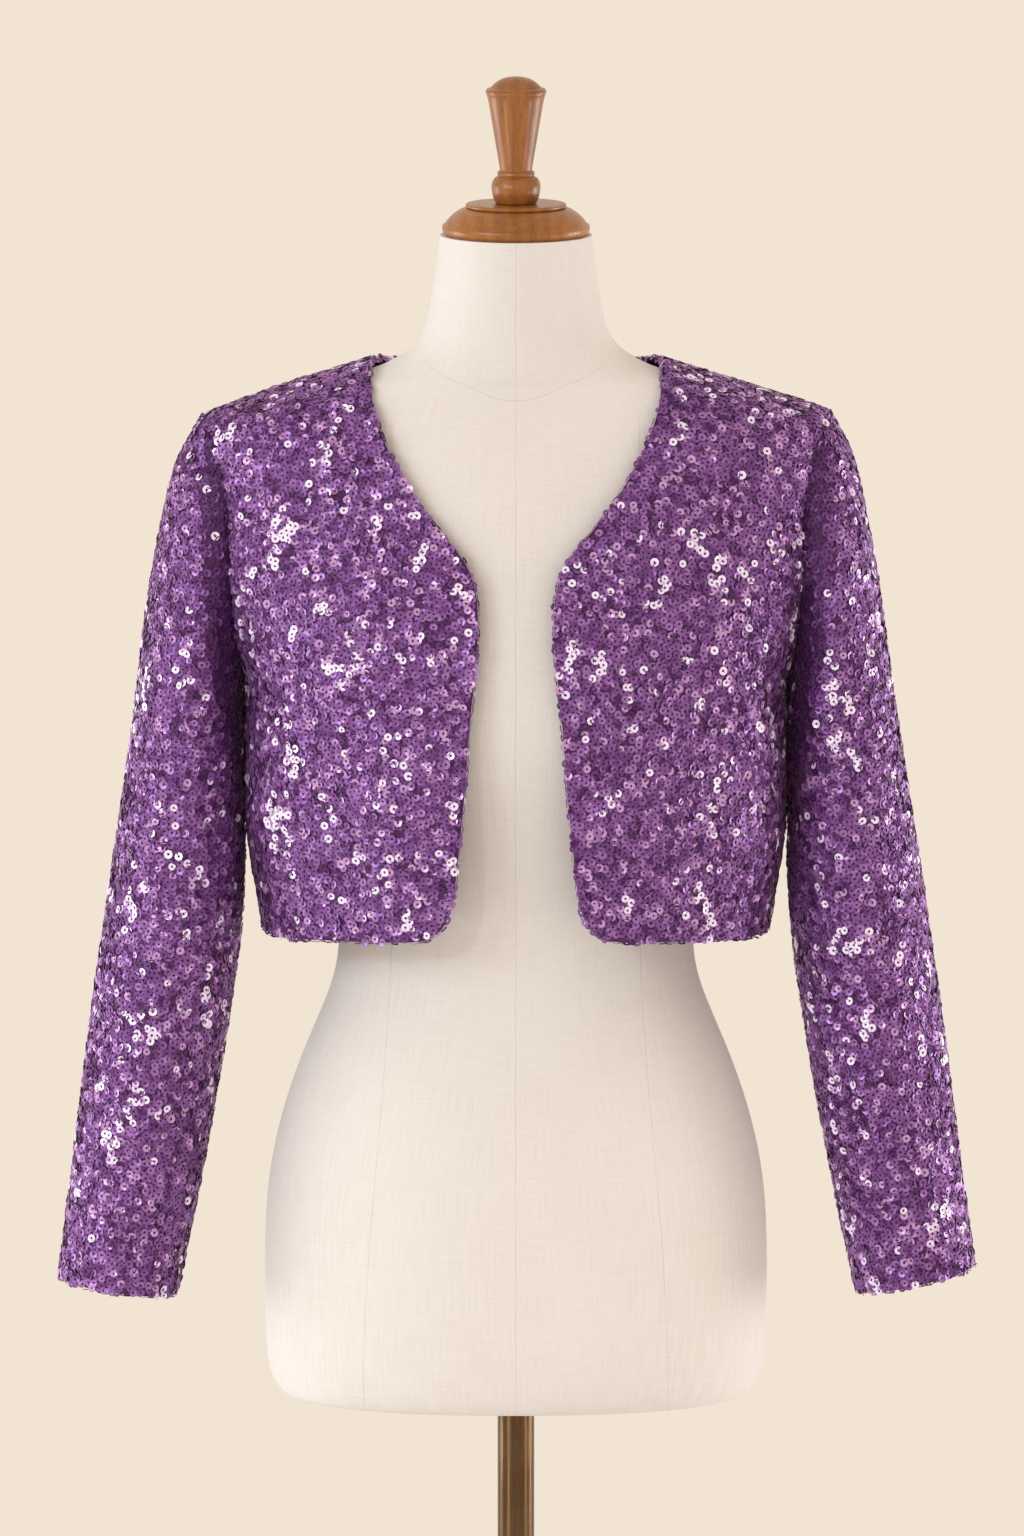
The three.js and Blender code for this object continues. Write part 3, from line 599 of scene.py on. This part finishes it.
@dataclass(frozen=True)
class SequinFinish:
    """One tint of sequin. It takes every sequin whose lot is above start."""

    name: str
    start: float
    colour: Colour
    metallic: float
    roughness: float
    coat: float
    coat_roughness: float = 0.12
    gloss_tint: Colour = (0.86, 0.62, 1.0)
    rim: float = 0.45
    rim_roughness: float = 0.3
    rim_tint: Colour = (1.0, 0.62, 0.78)

    def make(self) -> bpy.types.Material:
        """Makes the tint's material.

        Returns:
            The material.
        """
        made = Finish(self.name, Metallic=self.metallic, Roughness=self.roughness)
        made.set("Base Color", self.colour)
        made.set("Coat Weight", self.coat)
        made.set("Coat Roughness", self.coat_roughness)
        made.set("Specular Tint", (*self.gloss_tint, 1.0))
        made.set("Sheen Weight", self.rim)
        made.set("Sheen Roughness", self.rim_roughness)
        made.set("Sheen Tint", (*self.rim_tint, 1.0))
        return made.material


# Sequin tints, each taking the sequins whose lot is above its start. The last, pale near white, is a
# painted glint.
SEQUINS = (
    # The darkest tint also fills the sleeve crease as painted shade.
    SequinFinish("sequin_shade", 0.0, (0.07, 0.018, 0.095), 0.3, 0.38, 0.05),
    SequinFinish("sequin_plum", 0.12, (0.136, 0.042, 0.19), 0.3, 0.36, 0.1),
    SequinFinish("sequin_violet", 0.34, (0.209, 0.076, 0.291), 0.3, 0.33, 0.15),
    SequinFinish("sequin_orchid", 0.7, (0.314, 0.143, 0.41), 0.35, 0.3, 0.2),
    # Lilac is a lighter tone that also stands in for half-lit sequins: partly painted highlight.
    SequinFinish("sequin_lilac", 0.9, (0.55, 0.31, 0.62), 0.35, 0.26, 0.3),
    SequinFinish("sequin_glint", 1.0, (0.88, 0.76, 1.0), 0.1, 0.22, 0.4),
)


def link(thing: bpy.types.Object) -> bpy.types.Object:
    """Puts an object in the scene and returns it."""
    bpy.context.scene.collection.objects.link(thing)
    return thing


def apply_modifiers(thing: bpy.types.Object) -> None:
    """Turns an object's modifiers into plain mesh and removes them.

    Args:
        thing: The object.
    """
    bpy.context.view_layer.update()
    evaluated = thing.evaluated_get(bpy.context.evaluated_depsgraph_get())
    mesh = bpy.data.meshes.new_from_object(evaluated)
    old = thing.data
    thing.modifiers.clear()
    thing.data = mesh
    mesh.name = thing.name
    bpy.data.meshes.remove(old)


@dataclass
class SmoothTwin:
    """A smooth copy of a CAD node: welded, squared up and subdivided, its sharp edges kept."""

    node: str
    material: bpy.types.Material
    slot: Slot
    crease_degrees: float
    levels: int = 2
    weld: float = 0.01 * MM
    flat_degrees: float = 40.0
    square_degrees: float = 80.0
    sharp_degrees: float = 35.0
    body: bpy.types.Object = field(init=False)

    def build(self, source: bpy.types.Object) -> bpy.types.Object:
        """Makes the copy and puts it in the scene.

        Args:
            source: The CAD node's object.

        Returns:
            The new object.
        """
        name = f"{self.node}_twin"
        self.body = link(bpy.data.objects.new(name, self._cage(source, name)))
        subdivision = self.body.modifiers.new("Smooth", "SUBSURF")
        subdivision.levels = self.levels
        subdivision.render_levels = self.levels
        apply_modifiers(self.body)
        mesh = self.body.data
        mesh.shade_smooth()
        mesh.set_sharp_from_angle(angle=math.radians(self.sharp_degrees))
        mesh.materials.clear()
        mesh.materials.append(self.material)
        return self.body

    def _cage(self, source: bpy.types.Object, name: str) -> bpy.types.Mesh:
        """Welds and squares up a CAD node, and marks the edges that stay sharp.

        Args:
            source: The CAD node's object.
            name: The mesh's name.

        Returns:
            The mesh that is subdivided.
        """
        work = bmesh.new()
        work.from_mesh(source.data)
        bmesh.ops.remove_doubles(work, verts=work.verts, dist=self.weld)
        bmesh.ops.join_triangles(
            work,
            faces=work.faces,
            cmp_seam=False,
            cmp_sharp=False,
            cmp_uvs=False,
            cmp_vcols=False,
            cmp_materials=False,
            angle_face_threshold=math.radians(self.flat_degrees),
            angle_shape_threshold=math.radians(self.square_degrees),
        )
        bmesh.ops.recalc_face_normals(work, faces=work.faces)
        crease = work.edges.layers.float.new("crease_edge")
        limit = math.radians(self.crease_degrees)
        for edge in work.edges:
            if len(edge.link_faces) == 2:
                edge[crease] = 1.0 if edge.calc_face_angle(0.0) > limit else 0.0
        mesh = bpy.data.meshes.new(name)
        work.to_mesh(mesh)
        work.free()
        return mesh

    def declare(self) -> None:
        """Hangs the copy on the root body and hides the CAD node it stands for."""
        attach(self.body, "root")
        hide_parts(self.node)


@dataclass(frozen=True)
class SequinShape:
    """One sequin: a flat ring with a sewing hole, slightly cupped."""

    sides: int = 8
    outer: float = 3.0 * MM
    inner: float = 0.88 * MM
    cup: float = 0.3 * MM

    def build(self) -> bpy.types.Object:
        """Makes the ring that Geometry Nodes repeats.

        Returns:
            The ring's object.
        """
        turns = np.arange(self.sides) * TURN / self.sides
        circle = np.stack([np.cos(turns), np.sin(turns)], axis=1)
        inner = np.column_stack([circle * self.inner, np.zeros(self.sides)])
        outer = np.column_stack([circle * self.outer, np.full(self.sides, self.cup)])
        faces = []
        for i in range(self.sides):
            j = (i + 1) % self.sides
            faces.append((i, self.sides + i, self.sides + j, j))
        mesh = bpy.data.meshes.new("sequin_ring")
        mesh.from_pydata(np.concatenate([inner, outer]).tolist(), [], faces)
        return link(bpy.data.objects.new("sequin_ring", mesh))


class SequinNodes:
    """A Geometry Nodes tree that sows rings over faces marked as outside."""

    TRIAL_DENSITY = 1.2e6
    LOT_SEED = 7
    GLINT_SEED = 8
    LAYER_SEED = 9
    SOCKETS = (
        ("Geometry", "NodeSocketGeometry"),
        ("Ring", "NodeSocketObject"),
        ("Spacing", "NodeSocketFloat"),
        ("Tilt", "NodeSocketFloat"),
        ("Lift", "NodeSocketFloat"),
        ("Smallest", "NodeSocketFloat"),
        ("Largest", "NodeSocketFloat"),
        ("Clusters per metre", "NodeSocketFloat"),
        ("Glints in cluster", "NodeSocketFloat"),
        ("Crease", "NodeSocketFloat"),
        ("Seed", "NodeSocketInt"),
    )

    def __init__(self, how: SequinSowing, place: Crease) -> None:
        """Builds the tree.

        Args:
            how: Tilt, lift, sizes and mix of the sequins.
            place: Where the crease beside the front lies, and how much painted shade it gets.
        """
        self.how = how
        self.place = place
        self.group = bpy.data.node_groups.new("Sow sequins", "GeometryNodeTree")
        self.tree = Tree(self.group)
        self.ids: dict[str, str] = {}
        interface = self.group.interface
        for name, kind in self.SOCKETS:
            made = interface.new_socket(name, in_out="INPUT", socket_type=kind)
            self.ids[name] = made.identifier
        interface.new_socket("Geometry", in_out="OUTPUT", socket_type="NodeSocketGeometry")
        self.given = self.tree.add("NodeGroupInput").outputs

        crease = self._crease_shade()
        glint = self._painted_glint(crease)
        rings = self._rings(glint)
        # In the crease the lot drops to the darkest tints: painted shade.
        lot = (1.0 - crease * place.painted_darkening) * self._draw(0.0, 1.0, self.LOT_SEED) + glint
        self.tree.add("NodeGroupOutput", {0: self._paint(rings, lot)})

    def _draw(self, low: object, high: object, seed: object) -> Signal:
        """Returns a random number for each sequin, between low and high."""
        inputs = {2: low, 3: high, "Seed": seed}
        return self.tree.signal("FunctionNodeRandomValue", 1, inputs, data_type="FLOAT")

    def _crease_shade(self) -> Signal:
        """Finds the crease between sleeve and front, where darker tints are laid as painted shade.

        Returns:
            1 in the crease, else 0.
        """
        crease = self.place
        x, y, z = self.tree.split(self.tree.signal("GeometryNodeInputPosition"))
        edge = z.ramp(crease.low, crease.high, crease.narrow, crease.wide)
        beside = (edge - abs(x)).ramp(*crease.beside)
        before = (y * -1.0).ramp(*crease.forward)
        return beside * before * self.given["Crease"]

    def _painted_glint(self, crease: Signal) -> Signal:
        """Chooses the sequins that get the pale painted-glint tint, most of them in loose strings.

        Args:
            crease: 1 in the crease beside the front, where there are few.

        Returns:
            1 for a sequin with a painted glint, else 0.
        """
        stretched = self.tree.signal(
            "ShaderNodeVectorMath",
            0,
            {0: self.tree.signal("GeometryNodeInputPosition"), 1: self.how.cluster_stretch},
            operation="MULTIPLY",
        )
        scale = self.given["Clusters per metre"]
        clusters = self.tree.signal(
            "ShaderNodeTexNoise", 0, {"Vector": stretched, "Scale": scale, "Detail": 1.0}
        )
        fewest, most = self.how.glints_outside, self.given["Glints in cluster"]
        share = clusters.ramp(*self.how.cluster_edge, fewest, most)
        share = share * (1.0 - crease * self.place.fewer_glints)
        return share.above(self._draw(0.0, 1.0, self.GLINT_SEED))

    def _rings(self, glint: Signal) -> Signal:
        """Sows the rings, each lifted, tilted and sized by chance.

        Args:
            glint: 1 for the sequins with a painted glint, which stand a little higher.

        Returns:
            The rings as instances.
        """
        add, signal, given = self.tree.add, self.tree.signal, self.given
        marks = signal(
            "GeometryNodeInputNamedAttribute", "Attribute", {"Name": "outside"}, data_type="BOOLEAN"
        )
        outside = signal(
            "GeometryNodeSeparateGeometry",
            "Selection",
            {"Geometry": given["Geometry"], "Selection": marks},
            domain="FACE",
        )
        sown = add(
            "GeometryNodeDistributePointsOnFaces",
            {
                "Mesh": outside,
                "Distance Min": given["Spacing"],
                "Density Max": self.TRIAL_DENSITY,
                "Seed": given["Seed"],
            },
            distribute_method="POISSON",
        ).outputs
        layer = self._draw(self.how.lowest_layer, self.how.highest_layer, self.LAYER_SEED)
        height = (layer + glint * self.how.glint_layer) * given["Lift"]
        lifted = signal(
            "ShaderNodeVectorMath", 0, {0: sown["Normal"], "Scale": height}, operation="SCALE"
        )
        points = signal(
            "GeometryNodeSetPosition", 0, {"Geometry": sown["Points"], "Offset": lifted}
        )
        tilt = Signal(self.tree, given["Tilt"])
        low = self.tree.vector(tilt * -1.0, tilt * -1.0, -math.pi)
        high = self.tree.vector(tilt, tilt, math.pi)
        angles = signal(
            "FunctionNodeRandomValue",
            0,
            {0: low, 1: high, "Seed": given["Seed"]},
            data_type="FLOAT_VECTOR",
        )
        turned = signal(
            "FunctionNodeRotateRotation",
            0,
            {"Rotation": sown["Rotation"], "Rotate By": angles},
            rotation_space="LOCAL",
        )
        inputs = {
            "Points": points,
            "Instance": signal("GeometryNodeObjectInfo", "Geometry", {"Object": given["Ring"]}),
            "Rotation": turned,
            "Scale": self._draw(given["Smallest"], given["Largest"], given["Seed"]),
        }
        return signal("GeometryNodeInstanceOnPoints", 0, inputs)

    def _paint(self, rings: Signal, lot: Signal) -> Signal:
        """Makes the rings real and gives each its tint.

        Args:
            rings: The rings as instances.
            lot: The number that decides each ring's tint.

        Returns:
            The painted mesh.
        """
        marked = self.tree.signal(
            "GeometryNodeStoreNamedAttribute",
            0,
            {"Geometry": rings, "Name": "lot", "Value": lot},
            data_type="FLOAT",
            domain="INSTANCE",
        )
        geometry = self.tree.signal("GeometryNodeRealizeInstances", 0, {0: marked})
        drawn = self.tree.signal(
            "GeometryNodeInputNamedAttribute", "Attribute", {"Name": "lot"}, data_type="FLOAT"
        )
        for finish in SEQUINS:
            inputs = {"Geometry": geometry, "Material": finish.make()}
            if finish.start > 0:
                inputs["Selection"] = drawn.above(finish.start)
            geometry = self.tree.signal("GeometryNodeSetMaterial", 0, inputs)
        return geometry

    def sow(
        self, panel: Panel, cloth: bpy.types.Object, ring: bpy.types.Object
    ) -> bpy.types.Object:
        """Covers one panel.

        Args:
            panel: The panel's data.
            cloth: Its smooth cloth, with its outside marked.
            ring: The sequin to repeat.

        Returns:
            The sequins as one plain mesh object.
        """
        sequins = link(bpy.data.objects.new(f"{panel.node}_sequins", cloth.data.copy()))
        modifier = sequins.modifiers.new("Sequins", "NODES")
        modifier.node_group = self.group
        values = {
            "Ring": ring,
            "Spacing": panel.spacing,
            "Tilt": self.how.tilt,
            "Lift": self.how.lift,
            "Smallest": self.how.smallest,
            "Largest": self.how.largest,
            "Clusters per metre": self.how.clusters_per_metre,
            "Glints in cluster": self.how.glints_in_cluster,
            # The sleeves get the painted shade in the crease beside the front.
            "Crease": 1.0 if panel.hold is Hold.HUNG else 0.0,
            "Seed": panel.seed,
        }
        for name, value in values.items():
            modifier[self.ids[name]] = value
        apply_modifiers(sequins)
        return sequins


@dataclass(frozen=True)
class DressForm:
    """The covered form on its stand: torso, neck cap, finial, pole and foot."""

    nodes: dict[str, bpy.types.Object]
    cover_crease_degrees: float = 42.0
    turned_crease_degrees: float = 30.0

    def build(self) -> list[bpy.types.Object]:
        """Returns:
            The pieces.
        """
        linen, wood, bronze = Linen().material, VarnishedWood().material, DarkBronze().material
        twins = (
            SmoothTwin("form_torso", linen, Slot.LINEN, self.cover_crease_degrees),
            SmoothTwin("neck_cap", wood, Slot.WOOD, self.turned_crease_degrees),
            SmoothTwin("finial", wood, Slot.WOOD, self.turned_crease_degrees),
            SmoothTwin("stand_pole", bronze, Slot.BRONZE, self.turned_crease_degrees),
            SmoothTwin("stand_foot", bronze, Slot.BRONZE, self.turned_crease_degrees),
        )
        for twin in twins:
            twin.build(self.nodes[twin.node])
            twin.declare()
        return [twin.body for twin in twins]


@dataclass(frozen=True)
class Jacket:
    """The cloth panels with their sequins."""

    nodes: dict[str, bpy.types.Object]
    crease_degrees: float = 50.0
    outside_facing: float = 0.3
    rim_facing: float = -0.35
    seam_reach: float = 1.4 * MM
    shape: SequinShape = SequinShape()
    sowing: SequinSowing = SequinSowing()
    crease: Crease = Crease()
    surfaces: dict[str, BVHTree] = field(default_factory=dict)

    def build(self) -> list[bpy.types.Object]:
        """Makes every panel, sews on its sequins and hangs both on the root body.

        Returns:
            The pieces.
        """
        pieces = []
        net = SequinNet().material
        nodes = SequinNodes(self.sowing, self.crease)
        ring = self.shape.build()
        for panel in PANELS:
            twin = SmoothTwin(panel.node, net, Slot.SEQUIN_CLOTH, self.crease_degrees)
            cloth = twin.build(self.nodes[panel.node])
            self._mark_outside(cloth, panel)
            sequins = nodes.sow(panel, cloth, ring)
            twin.declare()
            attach(sequins, "root")
            list(panel.rests_on)
            count = len(sequins.data.polygons) // self.shape.sides
            LOG.info("%s: %d sequins", panel.node, count)
            pieces += [cloth, sequins]
        bpy.data.objects.remove(ring)
        return pieces

    def _mark_outside(self, cloth: bpy.types.Object, panel: Panel) -> None:
        """Stores which faces carry sequins: the outside, and the rims that no seam hides.

        Args:
            cloth: The panel's smooth cloth.
            panel: The panel's data.
        """
        mesh = cloth.data
        count = len(mesh.polygons)
        centre = np.empty(count * 3)
        normal = np.empty(count * 3)
        mesh.polygons.foreach_get("center", centre)
        mesh.polygons.foreach_get("normal", normal)
        centre, normal = centre.reshape(-1, 3), normal.reshape(-1, 3)
        out = centre - self._nearest_on_line(centre, np.array(panel.centres) * MM)
        out /= np.linalg.norm(out, axis=1)[:, None]
        facing = np.einsum("ij,ij->i", out, normal)
        outside = facing > self.outside_facing
        rims = np.flatnonzero((facing > self.rim_facing) & ~outside)
        neighbours = [self._surface(p.node) for p in PANELS if p.node != panel.node]
        for i in rims:
            point = Vector(centre[i])
            near = (n.find_nearest(point, self.seam_reach)[0] for n in neighbours)
            outside[i] = all(hit is None for hit in near)
        layer = mesh.attributes.new("outside", "BOOLEAN", "FACE")
        layer.data.foreach_set("value", outside)

    @staticmethod
    def _nearest_on_line(points: np.ndarray, line: np.ndarray) -> np.ndarray:
        """Finds where a broken line comes closest to each point.

        Args:
            points: One point a row.
            line: The line's corners, one a row.

        Returns:
            One point of the line for each point.
        """
        nearest = np.zeros(points.shape)
        best = np.full(len(points), np.inf)
        for start, end in zip(line[:-1], line[1:]):
            along = end - start
            share = np.clip((points - start) @ along / (along @ along), 0, 1)
            foot = start + share[:, None] * along
            far = np.linalg.norm(points - foot, axis=1)
            closer = far < best
            nearest[closer] = foot[closer]
            best[closer] = far[closer]
        return nearest

    def _surface(self, node: str) -> BVHTree:
        """Makes a search tree of a CAD node's surface, once for each node.

        Args:
            node: The node's name.

        Returns:
            The tree.
        """
        if node not in self.surfaces:
            mesh = self.nodes[node].data
            points = [v.co for v in mesh.vertices]
            faces = [tuple(p.vertices) for p in mesh.polygons]
            self.surfaces[node] = BVHTree.FromPolygons(points, faces)
        return self.surfaces[node]


@dataclass(frozen=True)
class SoftLight:
    """A round area light that looks at the middle of the jacket."""

    name: str
    place: Point
    size: float
    power: float
    colour: Colour
    spread_degrees: float = 180.0
    aim: Point = (0.0, 0.0, 1.1)

    def build(self) -> None:
        """Puts the light in the scene."""
        data = bpy.data.lights.new(self.name, "AREA")
        data.shape = "DISK"
        data.size = self.size
        data.energy = self.power
        data.color = self.colour
        data.spread = math.radians(self.spread_degrees)
        light = link(bpy.data.objects.new(self.name, data))
        light.location = self.place
        towards = Vector(self.aim) - light.location
        light.rotation_euler = towards.to_track_quat("-Z", "Y").to_euler()


LIGHTS = (
    SoftLight("key", (-2.6, -2.2, 2.3), 1.4, 34.0, (0.78, 0.92, 1.0)),
    SoftLight("glints", (-1.5, -3.0, 2.1), 0.3, 11.0, (0.95, 0.97, 1.0)),
    SoftLight("left_edge", (-2.4, 0.6, 0.8), 1.4, 7.4, (0.95, 0.97, 1.0), 110.0),
    SoftLight("right_edge", (2.4, 0.6, 0.8), 1.4, 10.0, (0.97, 0.97, 1.0), 110.0),
    SoftLight("low_strip", (-1.85, -1.7, 0.3), 0.55, 3.6, (1.0, 0.95, 0.9)),
    SoftLight("low_edge", (2.2, -1.0, 0.4), 0.6, 1.3, (1.0, 0.95, 0.9), 100.0),
)


@dataclass(frozen=True)
class Studio:
    """Plain pale floor, even surroundings, soft lights and the photograph's camera."""

    view: PhotoView = PhotoView()
    backdrop: Colour = (0.879, 0.776, 0.651)
    floor_radius: float = 2.6
    floor_sides: int = 96

    def build(self) -> None:
        """Sets up everything around the object."""
        self._camera()
        self._world()
        self._floor()
        for light in LIGHTS:
            light.build()
        settings = bpy.context.scene.view_settings
        settings.view_transform = "Standard"
        settings.look = "None"

    def _camera(self) -> None:
        """Places the camera where the photograph was taken from."""
        view = self.view
        data = bpy.data.cameras.new("photo_camera")
        data.lens = view.lens_mm
        data.sensor_width = view.sensor_mm
        data.clip_start = view.nearest
        data.clip_end = view.farthest
        camera = link(bpy.data.objects.new("photo_camera", data))
        lean = math.radians(view.elevation_degrees)
        target = Vector(view.target_mm) * MM
        back = Vector((0.0, -math.cos(lean), math.sin(lean)))
        camera.location = target + back * view.distance
        camera.rotation_euler = (math.pi / 2 - lean, 0.0, 0.0)
        bpy.context.scene.camera = camera

    def _world(self) -> None:
        """Sets the even surroundings."""
        world = bpy.data.worlds.new("even_studio")
        world.use_nodes = True
        background = world.node_tree.nodes["Background"]
        background.inputs["Color"].default_value = (*self.backdrop, 1.0)
        background.inputs["Strength"].default_value = 1.0
        bpy.context.scene.world = world

    def _floor(self) -> None:
        """Lays the floor."""
        mesh = bpy.data.meshes.new("floor")
        work = bmesh.new()
        bmesh.ops.create_circle(
            work, cap_ends=True, segments=self.floor_sides, radius=self.floor_radius
        )
        work.to_mesh(mesh)
        work.free()
        mesh.materials.append(StudioFloor().material)
        floor = link(bpy.data.objects.new("floor", mesh))


def main() -> None:
    """Builds the studio, the form and the jacket, and reports each piece."""
    logging.basicConfig(level=logging.INFO, format="%(name)s: %(message)s")
    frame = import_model()
    nodes = frame["nodes"]

    Studio().build()
    for piece in DressForm(nodes).build() + Jacket(nodes).build():
        LOG.info("%s: %d faces", piece.name, len(piece.data.polygons))


if __name__ == "__main__":
    main()
